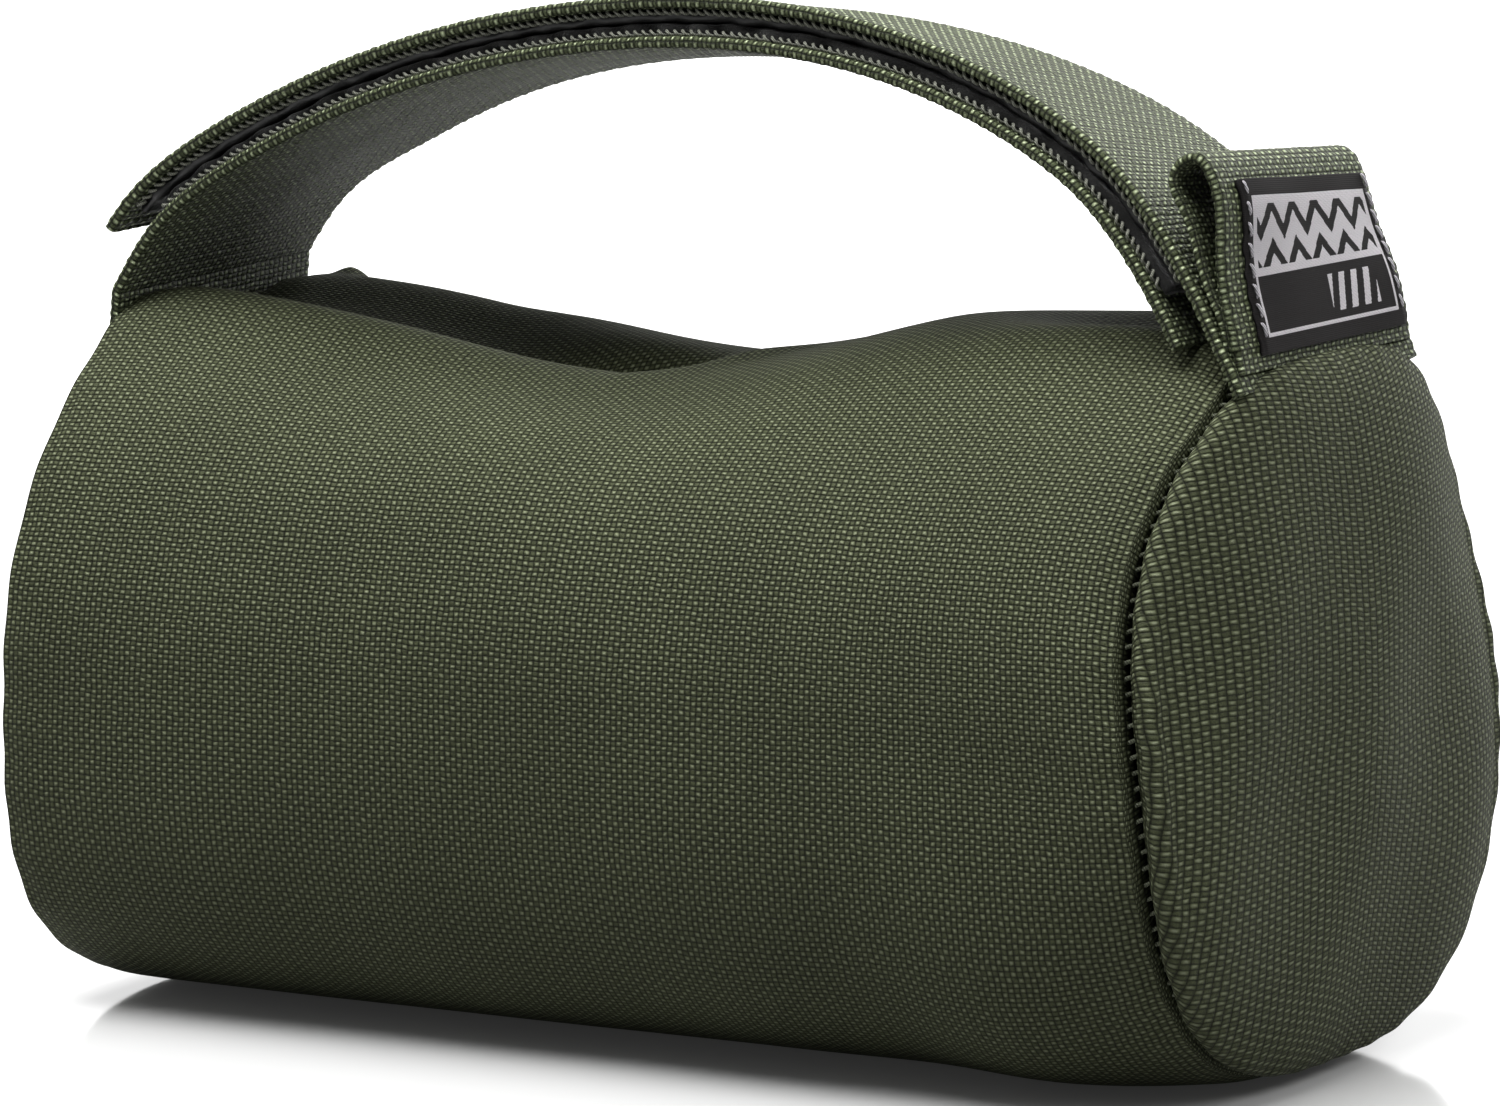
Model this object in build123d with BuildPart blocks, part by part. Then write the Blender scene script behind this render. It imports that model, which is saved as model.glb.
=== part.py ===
from build123d import *
import math
import os

# A small bolster sandbag: a fabric tube closed by two round end panels, filled with sand in a
# liner, with a two-part webbing handle that opens with hook-and-loop tape, and a webbing tab
# with a woven label at its right end. +X runs along the bag towards the tab, the front faces -Y,
# +Z is up, and the origin is on the floor under the middle of the bag. All sizes in millimetres.

# Bag body
bag_radius = 50.0
axis_height = 48.0
seam_half = 82.0
seam_top = 93.0
middle_top = 88.0
disc_bulge = 9.0
fabric = 0.8
seam_gap = 0.4

# What the bag holds
binding_outer = 0.9
binding_inner = 2.8
binding_length = 4.0
liner_inset = 3.2
liner_fabric = 0.5
sand_inset = 3.8
liner_strip_width = 20.0
liner_strip_length = 100.0
liner_strip_angle = -12.0

# Rear zipper, measured in its own plane on the back of the tube
zip_angle = 25.0
zip_half = 58.0
slot_width = 10.0
tape_width = 13.0
tape_thick = 0.5
tape_depth = 1.1
coil_radius = 0.75
coil_centre = 1.35
coil_height = -0.3
slider_start = 48.0
stitch_long = 2.6
stitch_wide = 0.5
stitch_high = 0.3
stitch_pitch = 4.0

# Handle: two straps of the same webbing, face to face through hook and loop tape
webbing_width = 50.0
webbing = 1.5
closure_tape = 1.55
closure_gap = 0.3
closure_width = 46.0
seam_slack = 0.1

# Tab and label
tab_width = 48.0
tab_webbing = 1.35
label_width = 37.0
label_thick = 0.6


def bag_form(inset):
    """The filled bag as one solid, pulled in by inset on every side."""
    ball = (bag_radius**2 + disc_bulge**2) / (2 * disc_bulge)
    ball_centre = seam_half + disc_bulge - ball
    drop = seam_top - middle_top
    saddle = (seam_half**2 + drop**2) / (2 * drop)
    reach = seam_half + disc_bulge
    with BuildPart() as form:
        with BuildSketch(Plane.YZ.offset(-reach)):
            with Locations((0, axis_height)):
                Circle(bag_radius - inset)
            with Locations((0, seam_top / 2)):
                Rectangle(2 * bag_radius, seam_top - 2 * inset, mode=Mode.INTERSECT)
        extrude(amount=2 * reach)
        for side in (-1, 1):
            with Locations((side * ball_centre, 0, axis_height)):
                Sphere(ball - inset, mode=Mode.INTERSECT)
        with BuildSketch(Plane.XZ):
            with Locations((0, middle_top + saddle)):
                Circle(saddle + inset)
        extrude(amount=bag_radius, both=True, mode=Mode.SUBTRACT)
    return form.part


def slice_of(outer, inner, x_low, x_high):
    """The wall between two bag forms, from x_low to x_high."""
    with BuildPart() as wall:
        add(outer)
        add(inner, mode=Mode.SUBTRACT)
        with Locations(((x_low + x_high) / 2, 0, axis_height)):
            Box(x_high - x_low, 3 * bag_radius, 3 * bag_radius, mode=Mode.INTERSECT)
    return wall.part


def tube_plane(angle, radius=bag_radius):
    """A plane on the tube's back, angle degrees above level: x along the bag, z outwards."""
    tilt = math.radians(angle)
    outward = (0, math.cos(tilt), math.sin(tilt))
    foot = (0, radius * outward[1], axis_height + radius * outward[2])
    return Plane(origin=foot, x_dir=(1, 0, 0), z_dir=outward)


def band(radius, thick, angle, centre, width, length):
    """A strip curved round the bag's axis, centre millimetres below the line at angle."""
    with BuildPart() as strip:
        with BuildSketch(Plane.YZ.offset(-length / 2)):
            with Locations((0, axis_height)):
                Circle(radius)
                Circle(radius - thick, mode=Mode.SUBTRACT)
        extrude(amount=length)
        with Locations(tube_plane(angle)):
            with Locations((0, centre, 0)):
                Box(length, width, bag_radius / 3, mode=Mode.INTERSECT)
    return strip.part


# The underside of the handle, from the left seam over the top to the right seam.
handle_points = [
    (-82.4, 93.5),
    (-76.3, 101.8),
    (-66.0, 108.9),
    (-50.0, 116.7),
    (-30.0, 122.9),
    (-8.0, 126.2),
    (15.0, 126.7),
    (36.0, 123.5),
    (53.5, 116.0),
    (66.0, 105.7),
    (74.6, 95.0),
    (78.2, 88.8),
]
handle_line = Spline(*handle_points)

# The centre line of the tab, up its inner leaf, over the fold and down its outer leaf.
tab_points = [
    (81.7, 97.8),
    (78.8, 104.0),
    (75.2, 110.4),
    (74.7, 114.9),
    (78.2, 116.8),
    (82.0, 113.6),
    (83.2, 106.5),
    (83.4, 97.8),
]
tab_line = Spline(*tab_points)


def raised(line, share, height):
    """The point height to the left of a line, seen along it, at a share of its length."""
    point = line @ share
    direction = (line % share).normalized()
    return (point.X - direction.Y * height, point.Y + direction.X * height)


def layer(line, low, high, start, end, spans):
    """The profile between two heights over a line, from share start to share end."""
    shares = [start + (end - start) * i / spans for i in range(spans + 1)]
    lower = [raised(line, share, low) for share in shares]
    upper = [raised(line, share, high) for share in shares]
    with BuildSketch(Plane.XZ) as profile:
        with BuildLine():
            Spline(*lower)
            Line(lower[-1], upper[-1])
            Spline(*reversed(upper))
            Line(upper[0], lower[0])
        make_face()
    return profile.sketch


def stitch_places(line, height, start, end, count, offsets):
    """Planes for two or more rows of stitches lying along a line at a height over it."""
    places = []
    for i in range(count):
        share = start + (end - start) * i / (count - 1)
        x, z = raised(line, share, height)
        direction = (line % share).normalized()
        for y in offsets:
            along = (direction.X, 0, direction.Y)
            upward = (-direction.Y, 0, direction.X)
            places.append(Plane(origin=(x, y, z), x_dir=along, z_dir=upward))
    return places


# Bag shell -----------------------------------------------------------------------------------

outer_form = bag_form(0)
inner_form = bag_form(fabric)
reach = seam_half + disc_bulge + 1

with BuildPart() as tube_panel:
    add(slice_of(outer_form, inner_form, -seam_half + seam_gap, seam_half - seam_gap))
    with Locations(tube_plane(zip_angle)):
        Box(2 * zip_half, slot_width, bag_radius / 5, mode=Mode.SUBTRACT)

with BuildPart() as left_end_disc:
    add(slice_of(outer_form, inner_form, -reach, -seam_half))

with BuildPart() as right_end_disc:
    add(slice_of(outer_form, inner_form, seam_half, reach))

thread_outer = bag_form(0.1)
with BuildPart() as left_seam_thread:
    add(slice_of(thread_outer, inner_form, -seam_half, -seam_half + seam_gap))

with BuildPart() as right_seam_thread:
    add(slice_of(thread_outer, inner_form, seam_half - seam_gap, seam_half))

binding_form = bag_form(binding_outer)
binding_core = bag_form(binding_inner)
binding_start = seam_half - seam_gap - binding_length
binding_end = seam_half - seam_gap
with BuildPart() as left_seam_binding:
    add(slice_of(binding_form, binding_core, -binding_end, -binding_start))

with BuildPart() as right_seam_binding:
    add(slice_of(binding_form, binding_core, binding_start, binding_end))

# Filling -------------------------------------------------------------------------------------

with BuildPart() as liner_bag:
    add(bag_form(liner_inset))
    add(bag_form(liner_inset + liner_fabric), mode=Mode.SUBTRACT)

with BuildPart() as sand_fill:
    add(bag_form(sand_inset))

liner_radius = bag_radius - liner_inset
with BuildPart() as liner_loop_strip:
    add(band(liner_radius + 0.95, 0.9, liner_strip_angle, 0, liner_strip_width, liner_strip_length))

with BuildPart() as liner_hook_strip:
    add(band(liner_radius + 1.9, 0.9, liner_strip_angle, 0, liner_strip_width, liner_strip_length))

# Rear zipper ---------------------------------------------------------------------------------

tape_radius = bag_radius - tape_depth
tape_middle = coil_centre - coil_radius + tape_width / 2
tape_length = 2 * zip_half + 8
with BuildPart() as zipper_tape_upper:
    add(band(tape_radius, tape_thick, zip_angle, -tape_middle, tape_width, tape_length))

with BuildPart() as zipper_tape_lower:
    add(band(tape_radius, tape_thick, zip_angle, tape_middle, tape_width, tape_length))

with BuildPart() as zipper_coil_upper:
    with Locations(tube_plane(zip_angle)):
        with Locations((0, -coil_centre, coil_height)):
            Cylinder(coil_radius, 2 * zip_half - 4, rotation=(0, 90, 0))

with BuildPart() as zipper_coil_lower:
    with Locations(tube_plane(zip_angle)):
        with Locations((0, coil_centre, coil_height)):
            Cylinder(coil_radius, 2 * zip_half - 4, rotation=(0, 90, 0))

stop_place = zip_half - 1.2
with BuildPart() as zipper_top_stop:
    with Locations(tube_plane(zip_angle)):
        with Locations((stop_place, 0, 0)):
            Box(1.6, 4.6, 1.8)

with BuildPart() as zipper_bottom_stop:
    with Locations(tube_plane(zip_angle)):
        with Locations((-stop_place, 0, 0)):
            Box(1.6, 4.6, 1.8)

row_angle = math.degrees(slot_width * 0.7 / bag_radius)
stitches_per_row = int(2 * zip_half / stitch_pitch)
with BuildPart() as zipper_stitching:
    for side in (-1, 1):
        with Locations(tube_plane(zip_angle + side * row_angle, bag_radius + 0.02)):
            with GridLocations(stitch_pitch, 1, stitches_per_row, 1):
                Box(stitch_long, stitch_wide, stitch_high,
                    align=(Align.CENTER, Align.CENTER, Align.MIN))

# The slider: two plates joined by a post between the tapes, side walls and a bridge on top.
slider_width = 7.4
slider_length = 9.0
plate = 0.8
top_level = 0.85
bottom_level = -2.75
wall_thick = 1.0
bridge_level = 3.3
low_centre = (Align.CENTER, Align.CENTER, Align.MIN)
with BuildPart() as zipper_slider:
    with Locations(tube_plane(zip_angle)):
        with Locations((slider_start, 0, top_level)):
            Box(slider_length, slider_width, plate, align=low_centre)
        with Locations((slider_start, 0, bottom_level)):
            Box(slider_length, slider_width, plate, align=low_centre)
            Box(3.0, 0.8, top_level - bottom_level + plate / 2, align=low_centre)
        for side in (-1, 1):
            with Locations((slider_start, side * (slider_width - wall_thick) / 2, -0.55)):
                Box(slider_length, wall_thick, top_level + 0.75, align=low_centre)
            with Locations((slider_start + side * 3.2, 0, top_level + plate / 2)):
                Box(0.9, 1.6, bridge_level - top_level, align=low_centre)
        with Locations((slider_start, 0, bridge_level)):
            Box(7.3, 1.6, 0.8, align=low_centre)

# The pull: a cross bar under the bridge, two arms and a tapered plate with a hole.
pull_level = 2.48
pull_thick = 0.9
pull_length = 22.0
with BuildPart() as slider_pull:
    with Locations(tube_plane(zip_angle)):
        with Locations((slider_start, 0, pull_level)):
            Cylinder(pull_thick / 2, 4.6, rotation=(90, 0, 0))
        for side in (-1, 1):
            with Locations((slider_start - 2.6, side * 1.75, pull_level)):
                Box(5.2, 1.1, pull_thick)
    with BuildSketch(tube_plane(zip_angle, bag_radius + pull_level - pull_thick / 2)):
        with BuildLine():
            Polyline(
                (slider_start - 4.6, -2.3),
                (slider_start - pull_length + 3, -3.4),
                (slider_start - pull_length, -2.2),
                (slider_start - pull_length, 2.2),
                (slider_start - pull_length + 3, 3.4),
                (slider_start - 4.6, 2.3),
                close=True,
            )
        make_face()
        with Locations((slider_start - pull_length + 4, 0)):
            SlotOverall(6, 2.4, rotation=90, mode=Mode.SUBTRACT)
    extrude(amount=pull_thick)

# Handle --------------------------------------------------------------------------------------

loop_low = webbing + seam_slack
loop_high = loop_low + closure_tape
hook_low = loop_high + closure_gap
hook_high = hook_low + closure_tape
outer_low = hook_high + seam_slack
outer_high = outer_low + webbing
stitch_top = outer_high + seam_slack
stitch_under = -stitch_high - seam_slack
half_web = webbing_width / 2
half_tape = closure_width / 2
stitch_row = closure_width / 2 - 2
handle_spans = 18

with BuildPart() as inner_strap:
    extrude(layer(handle_line, 0, webbing, 0.014, 0.963, handle_spans), amount=half_web, both=True)

with BuildPart() as loop_tape:
    extrude(layer(handle_line, loop_low, loop_high, 0.07, 0.93, handle_spans),
            amount=half_tape, both=True)

with BuildPart() as hook_tape:
    extrude(layer(handle_line, hook_low, hook_high, 0.055, 0.93, handle_spans),
            amount=half_tape, both=True)

with BuildPart() as outer_strap:
    extrude(layer(handle_line, outer_low, outer_high, 0.04, 0.968, handle_spans),
            amount=half_web, both=True)

with BuildPart() as hook_tape_stitching:
    with Locations(*stitch_places(handle_line, stitch_top, 0.08, 0.92, 42,
                                  (-stitch_row, stitch_row))):
        Box(stitch_long, stitch_wide, stitch_high, align=low_centre)

with BuildPart() as loop_tape_stitching:
    with Locations(*stitch_places(handle_line, stitch_under, 0.09, 0.92, 42,
                                  (-stitch_row, stitch_row))):
        Box(stitch_long, stitch_wide, stitch_high, align=low_centre)

# Tab and label -------------------------------------------------------------------------------

half_leaf = tab_webbing / 2
label_low = half_leaf + seam_slack
label_high = label_low + label_thick
with BuildPart() as tab_loop:
    extrude(layer(tab_line, -half_leaf, half_leaf, 0, 1, 22), amount=tab_width / 2, both=True)

label_start = 0.60
label_end = 0.98
with BuildPart() as woven_label:
    extrude(layer(tab_line, label_low, label_high, label_start, label_end, 8),
            amount=label_width / 2, both=True)

label_row = label_width / 2 - 1.2
with BuildPart() as label_stitching:
    with Locations(*stitch_places(tab_line, label_high + seam_slack, label_start + 0.03,
                                  label_end - 0.03, 5, (-label_row, label_row))):
        Box(stitch_long, stitch_wide, stitch_high, align=low_centre)

# Export --------------------------------------------------------------------------------------

pieces = {
    "tube_panel": tube_panel,
    "left_end_disc": left_end_disc,
    "right_end_disc": right_end_disc,
    "left_seam_thread": left_seam_thread,
    "right_seam_thread": right_seam_thread,
    "left_seam_binding": left_seam_binding,
    "right_seam_binding": right_seam_binding,
    "liner_bag": liner_bag,
    "liner_loop_strip": liner_loop_strip,
    "liner_hook_strip": liner_hook_strip,
    "sand_fill": sand_fill,
    "zipper_tape_upper": zipper_tape_upper,
    "zipper_tape_lower": zipper_tape_lower,
    "zipper_coil_upper": zipper_coil_upper,
    "zipper_coil_lower": zipper_coil_lower,
    "zipper_top_stop": zipper_top_stop,
    "zipper_bottom_stop": zipper_bottom_stop,
    "zipper_stitching": zipper_stitching,
    "zipper_slider": zipper_slider,
    "slider_pull": slider_pull,
    "inner_strap": inner_strap,
    "loop_tape": loop_tape,
    "loop_tape_stitching": loop_tape_stitching,
    "outer_strap": outer_strap,
    "hook_tape": hook_tape,
    "hook_tape_stitching": hook_tape_stitching,
    "tab_loop": tab_loop,
    "woven_label": woven_label,
    "label_stitching": label_stitching,
}
os.makedirs("parts", exist_ok=True)
for name, piece in pieces.items():
    piece.part.label = name
    export_step(piece.part, f"parts/{name}.step")
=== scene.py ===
import math

import bpy
import numpy as np
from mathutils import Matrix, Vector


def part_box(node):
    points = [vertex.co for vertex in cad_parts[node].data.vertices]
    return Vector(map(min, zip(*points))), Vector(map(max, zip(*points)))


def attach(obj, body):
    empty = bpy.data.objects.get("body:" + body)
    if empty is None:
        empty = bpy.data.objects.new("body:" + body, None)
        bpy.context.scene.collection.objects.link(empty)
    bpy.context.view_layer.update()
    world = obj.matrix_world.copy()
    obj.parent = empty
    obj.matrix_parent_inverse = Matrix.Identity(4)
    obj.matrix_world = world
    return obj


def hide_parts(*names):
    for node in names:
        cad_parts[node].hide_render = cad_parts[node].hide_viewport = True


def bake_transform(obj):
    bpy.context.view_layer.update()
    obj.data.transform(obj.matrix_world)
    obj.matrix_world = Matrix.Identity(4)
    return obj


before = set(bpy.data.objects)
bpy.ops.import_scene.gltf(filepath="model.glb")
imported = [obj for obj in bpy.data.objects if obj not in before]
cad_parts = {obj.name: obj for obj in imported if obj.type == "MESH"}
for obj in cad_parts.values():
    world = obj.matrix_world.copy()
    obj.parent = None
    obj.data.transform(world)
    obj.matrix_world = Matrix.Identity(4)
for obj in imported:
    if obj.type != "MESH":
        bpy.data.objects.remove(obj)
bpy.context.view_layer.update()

bl_info = {
    "name": "Bolster Sandbag",
    "version": (1, 0, 0),
    "blender": (4, 5, 0),
    "location": "3D View > Sidebar > Sandbag",
    "description": "Builds the looks of a small webbing-handled bolster sandbag around its CAD frame",
    "category": "Add Mesh",
}

# Every length below is in millimetres, in the frame's own axes: +X along the bag towards the tab,
# the front faces -Y, +Z is up and the floor is at 0. Meshes are scaled to metres when they are made.
METRE = 0.001
tube_low, tube_high = (np.array(corner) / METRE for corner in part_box("tube_panel"))
RADIUS = round((tube_high[1] - tube_low[1]) / 2)
SEAM = round(tube_high[0] + 0.4)
AXIS_HEIGHT = 48.0
SEAM_TOP = 93.0
ZIP_ANGLE = math.radians(-65)
ZIP_HALF = 58.0
SLOT_HALF = 5.0
CLOTH = 0.8
STRAP_HALF = 25.0
TAB_HALF = 24.0
TAPE_HALF = 23.0
LABEL_HALF = 20.2
LABEL_MIDDLE = 1.6
COIL_HALF = 56.0
COIL_TURNS = 74
TAPE_RADIUS = 48.9
RIB = 1.3
# Added to the cloth's pattern maps, which keeps them positive.
MAP_START = 200
# The underside of the handle from the left seam to the right one, as the CAD handle has it.
HANDLE_POINTS = [
    (-82.4, 93.5), (-76.3, 101.8), (-66.0, 108.9), (-50.0, 116.7), (-30.0, 122.9), (-8.0, 126.2),
    (15.0, 126.7), (36.0, 123.5), (53.5, 116.0), (66.0, 105.7), (74.6, 95.0), (78.2, 88.8),
]
# The tab's centre line, up its inner leaf, over the fold and down its outer leaf, into the seam.
TAB_POINTS = [
    (82.0, 92.0), (81.3, 97.8), (77.8, 104.0), (74.2, 110.4), (72.9, 115.0), (75.6, 116.8),
    (78.2, 113.9), (79.9, 106.5), (82.2, 97.8), (83.6, 91.6),
]


# Shapes ---------------------------------------------------------------------------------------

def smooth(low, high, value):
    """0 below low, 1 above high, and a smooth S between them."""
    t = np.clip((value - low) / (high - low), 0, 1)
    return t * t * (3 - 2 * t)


def hump(value, centre, width):
    """A bell curve: exp of minus the squared distance from centre in widths."""
    return np.exp(-(((value - centre) / width) ** 2))


def soft_min(a, b, reach):
    """The lower of a and b, rounded where they cross over about reach."""
    return 0.5 * (a + b - np.sqrt((a - b) ** 2 + reach**2))


def soft_max(a, b, reach):
    """The higher of a and b, rounded where they cross over about reach."""
    return 0.5 * (a + b + np.sqrt((a - b) ** 2 + reach**2))


def ripple(along, around, seed, waves, scale):
    """A gentle uneven surface: the mean of sines that cross it in seeded directions."""
    random = np.random.default_rng(seed)
    total = np.zeros(np.broadcast(along, around).shape)
    for _ in range(waves):
        turn, phase, stretch = random.uniform(0, 2 * math.pi, 3)
        rate = 2 * math.pi / (scale * (0.7 + stretch / 7))
        total += np.sin(rate * (along * math.cos(turn) + around * math.sin(turn)) + phase)
    return total / math.sqrt(waves)


def spline_through(points, count):
    """Natural cubic spline by chord length: solves for the second derivatives, then samples it."""
    p = np.array(points, float)
    t = np.concatenate([[0], np.cumsum(np.hypot(*np.diff(p, axis=0).T))])
    h = np.diff(t)
    n = len(p)
    system = np.eye(n)
    right = np.zeros_like(p)
    rows = np.arange(1, n - 1)
    system[rows, rows - 1] = h[:-1]
    system[rows, rows] = 2 * (h[:-1] + h[1:])
    system[rows, rows + 1] = h[1:]
    slope = np.diff(p, axis=0) / h[:, None]
    right[1:-1] = 6 * np.diff(slope, axis=0)
    bend = np.linalg.solve(system, right)
    at = np.linspace(0, t[-1], count)
    i = np.clip(np.searchsorted(t, at, side="right") - 1, 0, n - 2)
    a = (t[i + 1] - at)[:, None]
    b = (at - t[i])[:, None]
    step = h[i][:, None]
    return (bend[i] * a**3 + bend[i + 1] * b**3) / (6 * step) + (
        p[i] / step - bend[i] * step / 6) * a + (p[i + 1] / step - bend[i + 1] * step / 6) * b


def even_line(points, step):
    """The spline through points, resampled at even distances of about step."""
    fine = spline_through(points, 4000)
    run = np.concatenate([[0], np.cumsum(np.hypot(*np.diff(fine, axis=0).T))])
    count = int(run[-1] / step) + 1
    at = np.linspace(0, run[-1], count)
    return np.stack([np.interp(at, run, fine[:, k]) for k in range(2)], -1), at


def left_normals(line):
    """Unit left-hand normals of a line in the XZ plane."""
    tangent = np.gradient(line, axis=0)
    tangent /= np.linalg.norm(tangent, axis=1, keepdims=True)
    return np.stack([-tangent[:, 1], tangent[:, 0]], -1)


def line_places(run, runs, line, normals):
    """x and z of a line, and of its normal, at a run along it."""
    return [np.interp(run, runs, values[:, k]) for values in (line, normals) for k in (0, 1)]


# Meshes ---------------------------------------------------------------------------------------

def make_object(name, points, faces, uv=None, values=None, turn=None):
    """A mesh object from points in millimetres, a list of face arrays, and per-point UVs.

    turn is the V length of one whole turn, where the first array's quads close round a seam.
    """
    mesh = bpy.data.meshes.new(name)
    mesh.from_pydata((points * METRE).tolist(), [], [f for group in faces for f in group.tolist()])
    mesh.update()
    if uv is not None:
        corners = np.zeros(len(mesh.loops), np.int32)
        mesh.loops.foreach_get("vertex_index", corners)
        corner_uv = uv[corners]
        if turn:
            quads = corner_uv[: 4 * len(faces[0]), 1].reshape(-1, 4)
            across = np.ptp(quads, axis=1, keepdims=True) > turn / 2
            low = quads < quads.max(axis=1, keepdims=True) - turn / 2
            quads[across & low] += turn
            corner_uv[: 4 * len(faces[0]), 1] = quads.ravel()
        layer = mesh.uv_layers.new(name="UVMap")
        layer.data.foreach_set("uv", corner_uv.astype(np.float32).ravel())
    for key, value in (values or {}).items():
        attribute = mesh.attributes.new(key, "FLOAT", "POINT")
        attribute.data.foreach_set("value", np.ascontiguousarray(value, np.float32).ravel())
    mesh.polygons.foreach_set("use_smooth", np.ones(len(mesh.polygons), bool))
    obj = bpy.data.objects.new(name, mesh)
    bpy.context.scene.collection.objects.link(obj)
    return obj


def grid_faces(rows, columns, wrap=False, start=0):
    """Quads of a grid of rows by columns points, closed round the columns where wrap is set."""
    i, j = np.meshgrid(np.arange(rows - 1), np.arange(columns if wrap else columns - 1), indexing="ij")
    k = (j + 1) % columns
    quads = [i * columns + j, i * columns + k, (i + 1) * columns + k, (i + 1) * columns + j]
    return np.stack(quads, -1).reshape(-1, 4) + start


def rings_object(name, rings, uv=None, values=None):
    """A closed solid from rings of points (rings, around, 3), with a flat cap on each end."""
    count, around = rings.shape[:2]
    sides = grid_faces(count, around, wrap=True)
    caps = np.stack([np.arange(around)[::-1], (count - 1) * around + np.arange(around)])
    flat = None if uv is None else uv.reshape(-1, 2)
    return make_object(name, rings.reshape(-1, 3), [sides, caps], flat, values)


def repeated(name, shape, places):
    """One mesh of many copies of a small closed tube: shape (rings, around, 3) at each place.

    A place is (origin, three axes), so a copy's point is origin plus the axes times shape's point.
    """
    origins, axes = places
    rings, around = shape.shape[:2]
    local = shape.reshape(-1, 3)
    points = origins[:, None, :] + np.einsum("pk,nkc->npc", local, axes)
    base = grid_faces(rings, around, wrap=True)
    caps = np.stack([np.arange(around)[::-1], (rings - 1) * around + np.arange(around)])
    shift = (np.arange(len(origins)) * len(local))[:, None, None]
    sides = (base[None] + shift).reshape(-1, 4)
    ends = (caps[None] + shift).reshape(-1, around)
    return make_object(name, points.reshape(-1, 3), [sides, ends])


def tube_along(line, radius, sides):
    """A round section of the given radius carried along a line of 3-D points."""
    line = np.asarray(line, float)
    tangent = np.gradient(line, axis=0)
    tangent /= np.linalg.norm(tangent, axis=1, keepdims=True)
    guide = np.where(np.abs(tangent[:, 1:2]) > 0.9, [[1.0, 0, 0]], [[0, 1.0, 0]])
    one = np.cross(tangent, guide)
    one /= np.linalg.norm(one, axis=1, keepdims=True)
    two = np.cross(tangent, one)
    turn = np.arange(sides) * 2 * math.pi / sides
    size = np.broadcast_to(np.asarray(radius, float), (len(line),))[:, None, None]
    return line[:, None] + size * (np.cos(turn)[None, :, None] * one[:, None]
                                   + np.sin(turn)[None, :, None] * two[:, None])


def finish_piece(obj, material, body=None, replaces=()):
    """Gives a piece its material, its body and the CAD nodes it stands for."""
    obj.data.materials.clear()
    obj.data.materials.append(material)
    if body:
        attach(obj, body)
    if replaces:
        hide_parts(*replaces)
    return obj


def thicken(obj):
    """Adds a live Solidify that gives cloth its thickness, inwards."""
    modifier = obj.modifiers.new("cloth_thickness", "SOLIDIFY")
    modifier.thickness = CLOTH * METRE
    modifier.offset = -1
    modifier.use_even_offset = False


# The bag's surface ----------------------------------------------------------------------------

def section_radius(angle, x):
    """Distance from the bag's axis to its section, before folds: round above and squarer below.

    The lower half is a superellipse, as the sand's weight spreads it on the floor.
    """
    power = 2.35 + 0.85 * smooth(0, 60, SEAM - x) + 1.0 * hump(x, 62, 15)
    power = power + 0.3 * smooth(-0.3, 0.3, -np.sin(angle))
    sides = (np.abs(np.sin(angle)) / RADIUS) ** power
    floor = (np.abs(np.cos(angle)) / AXIS_HEIGHT) ** power
    return np.where(np.cos(angle) > 0, RADIUS, (sides + floor) ** (-1 / power))


def seam_shift(angle, x):
    """How far an end seam is drawn in at its sides: inwards on the right, outwards on the left."""
    right = 3.8 * hump(np.abs(angle), math.radians(66), math.radians(30))
    left = -2.4 * hump(np.abs(angle), math.radians(112), math.radians(36))
    return np.where(x > 0, right, left)


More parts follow.
